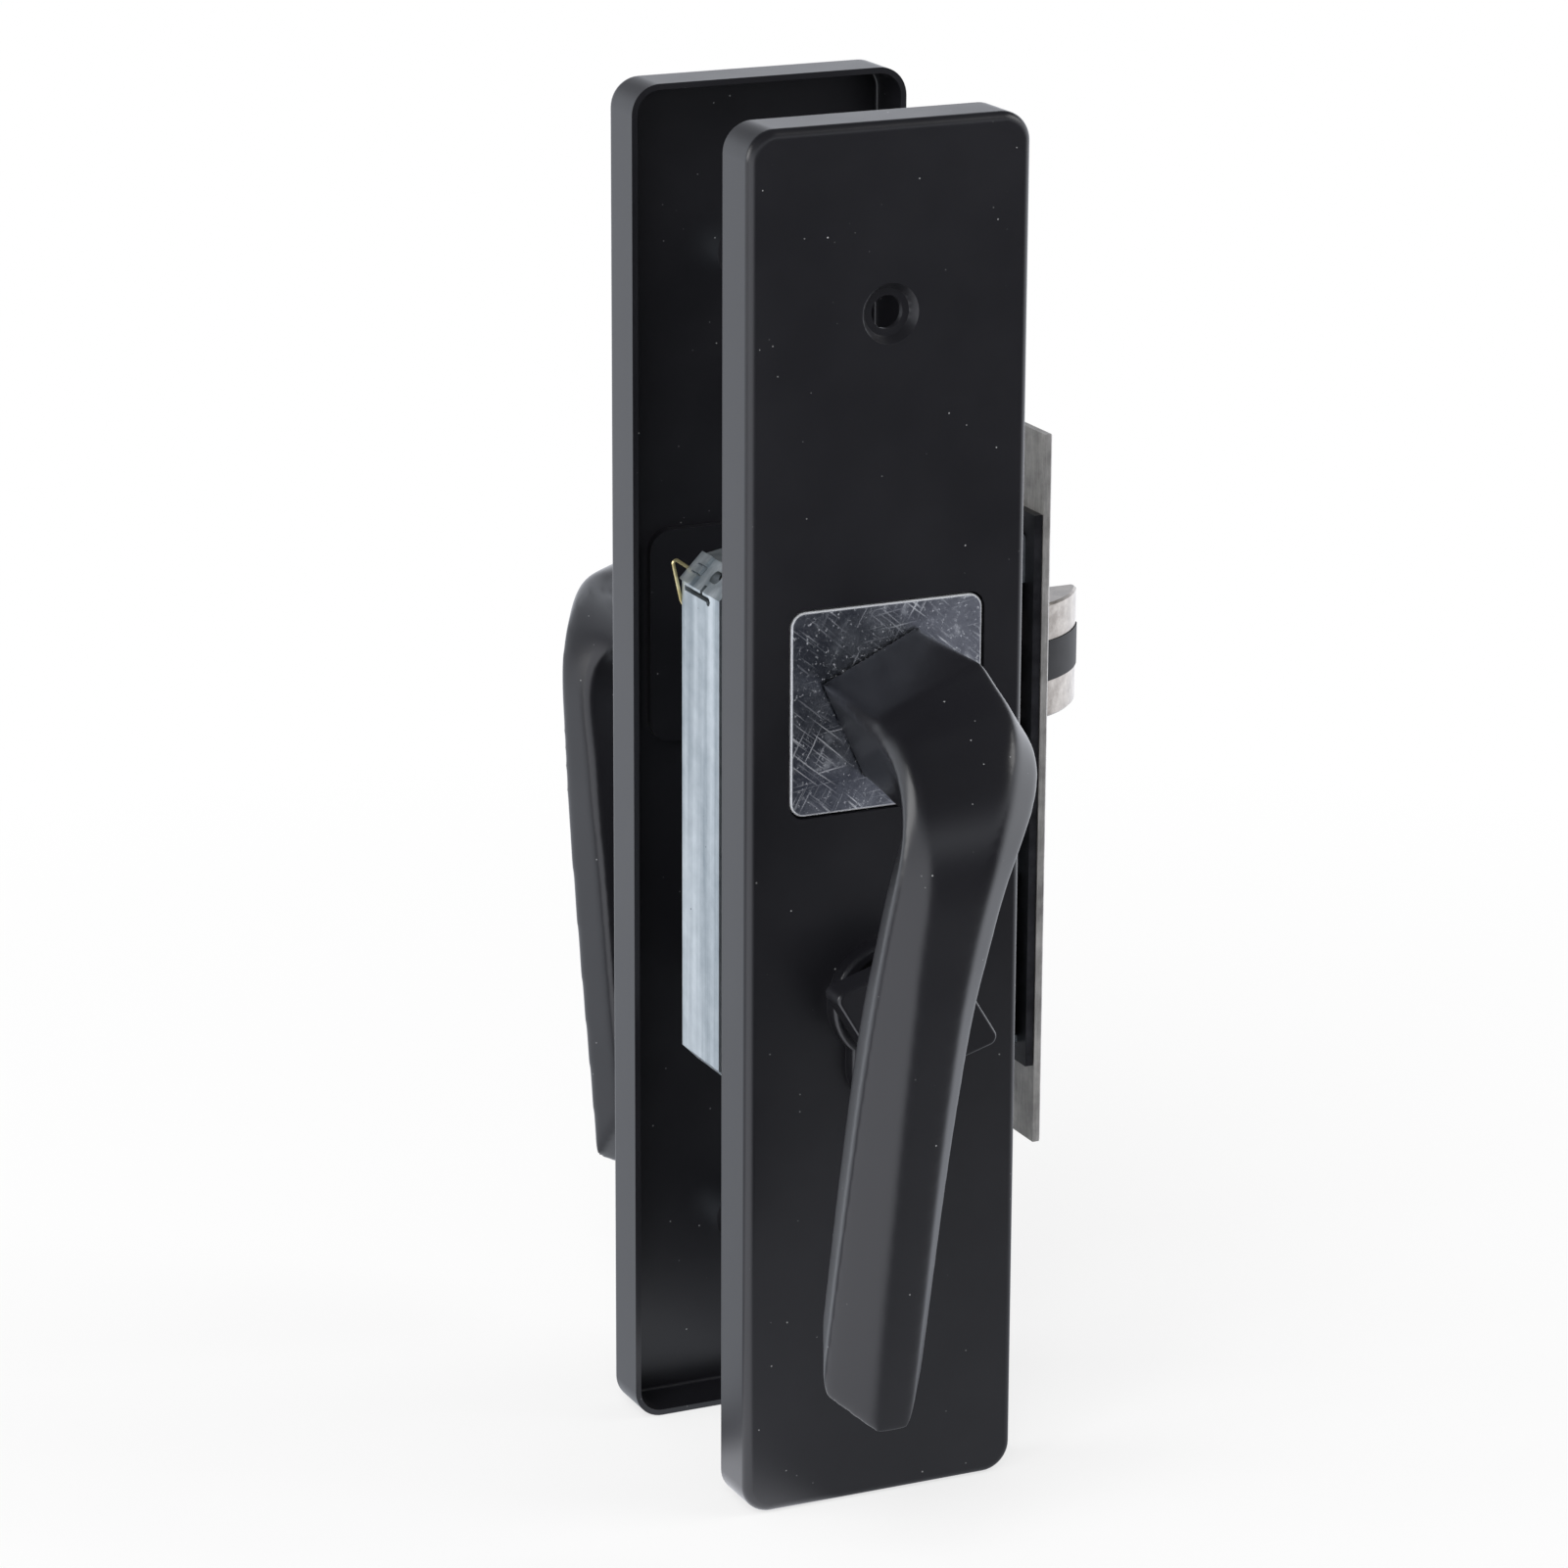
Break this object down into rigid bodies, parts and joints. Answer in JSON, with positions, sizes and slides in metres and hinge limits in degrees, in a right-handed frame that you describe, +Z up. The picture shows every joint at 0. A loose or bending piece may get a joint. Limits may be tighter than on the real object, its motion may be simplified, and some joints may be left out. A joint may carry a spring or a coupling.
{
  "type": "door lever lockset",
  "caption": "Black lever lockset with long narrow plates, square bright inserts, faceted levers, thumb turn and a mortice case with latch and deadbolt.",
  "frame": {"origin": "on the lever spindle's axis, half way through the door", "axes": "+X points to the door's edge and the latch, -Y to the side with the thumb turn, +Z up"},
  "size_m": [0.0788, 0.1504, 0.235],
  "materials": {
    "black_lacquer": "satin",
    "bright_steel": "polished",
    "zinc_plate": "satin",
    "stainless": "brushed",
    "bare_steel": "satin",
    "yellow_zinc": "satin",
    "dark_cylinder": "satin",
    "black_nylon": "matte"
  },
  "bodies": {
    "lock": {"front_plate": "black_lacquer", "rear_plate": "black_lacquer", "plate_posts": "zinc_plate", "front_insert": "bright_steel", "rear_insert": "bright_steel", "front_bush": "black_nylon", "rear_bush": "black_nylon", "case_body": "zinc_plate", "case_cover": "zinc_plate", "case_pillars": "zinc_plate", "case_screws": "zinc_plate", "inner_forend": "zinc_plate", "forend": "stainless", "forend_screws": "stainless", "latch_spring": "bare_steel", "return_spring": "yellow_zinc", "spring_anchor": "yellow_zinc", "cylinder_body": "dark_cylinder", "cylinder_screw": "stainless"},
    "handle": {"front_lever": "black_lacquer", "rear_lever": "black_lacquer", "front_circlip": "bare_steel", "rear_circlip": "bare_steel", "spindle": "bare_steel", "grub_screws": "zinc_plate", "follower": "zinc_plate"},
    "latch": {"latch_bolt": "zinc_plate", "latch_insert": "black_nylon"},
    "deadbolt": {"deadbolt": "zinc_plate"},
    "turn": {"thumb_turn": "dark_cylinder", "turn_plug": "dark_cylinder", "cylinder_cam": "bare_steel"},
    "key": {"key_plug": "dark_cylinder"}
  },
  "joints": [
    {"name": "lever_turn", "type": "hinge", "parent": "lock", "child": "handle", "pos_m": [0, 0, 0], "axis": [0, 1, 0], "range_deg": [0, 45], "stiffness_Nm_per_rad": 1, "deforming": ["return_spring"]},
    {"name": "latch_slide", "type": "slide", "parent": "lock", "child": "latch", "axis": [1, 0, 0], "range_m": [-0.0123, 0], "deforming": ["latch_spring"]},
    {"name": "turn_turn", "type": "hinge", "parent": "lock", "child": "turn", "pos_m": [0, 0, -0.05], "axis": [0, 1, 0], "range_deg": [0, 60.5]},
    {"name": "deadbolt_slide", "type": "slide", "parent": "lock", "child": "deadbolt", "axis": [1, 0, 0], "range_m": [0, 0.013]},
    {"name": "key_turn", "type": "hinge", "parent": "lock", "child": "key", "pos_m": [0, 0, -0.05], "axis": [0, 1, 0], "range_deg": [0, 60]}
  ],
  "couplings": [
    {"joint": "latch_slide", "follows": "lever_turn", "m_per_rad": -0.015534},
    {"joint": "turn_turn", "follows": "deadbolt_slide", "rad_per_m": 80.554}
  ]
}
